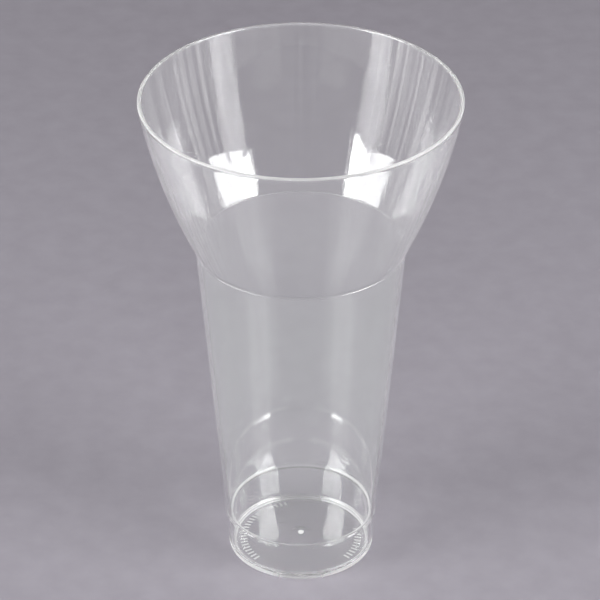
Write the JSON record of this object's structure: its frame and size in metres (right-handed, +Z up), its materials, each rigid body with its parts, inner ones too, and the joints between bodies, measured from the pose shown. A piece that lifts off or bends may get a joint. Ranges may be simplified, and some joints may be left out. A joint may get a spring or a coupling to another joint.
{
  "type": "plastic tumbler cup",
  "caption": "Clear plastic tumbler: a tapered stem on a stepped foot, opening into a bell-shaped bowl with a plain rim.",
  "frame": {"origin": "centre of the resting ring, on the table", "axes": "+Z up along the cup's axis; the cup is round, so X and Y have no preferred side"},
  "size_m": [0.092, 0.092, 0.1515],
  "materials": {
    "clear_plastic": "clear, gloss"
  },
  "bodies": {
    "root": {"cup": "clear_plastic"}
  },
  "joints": []
}
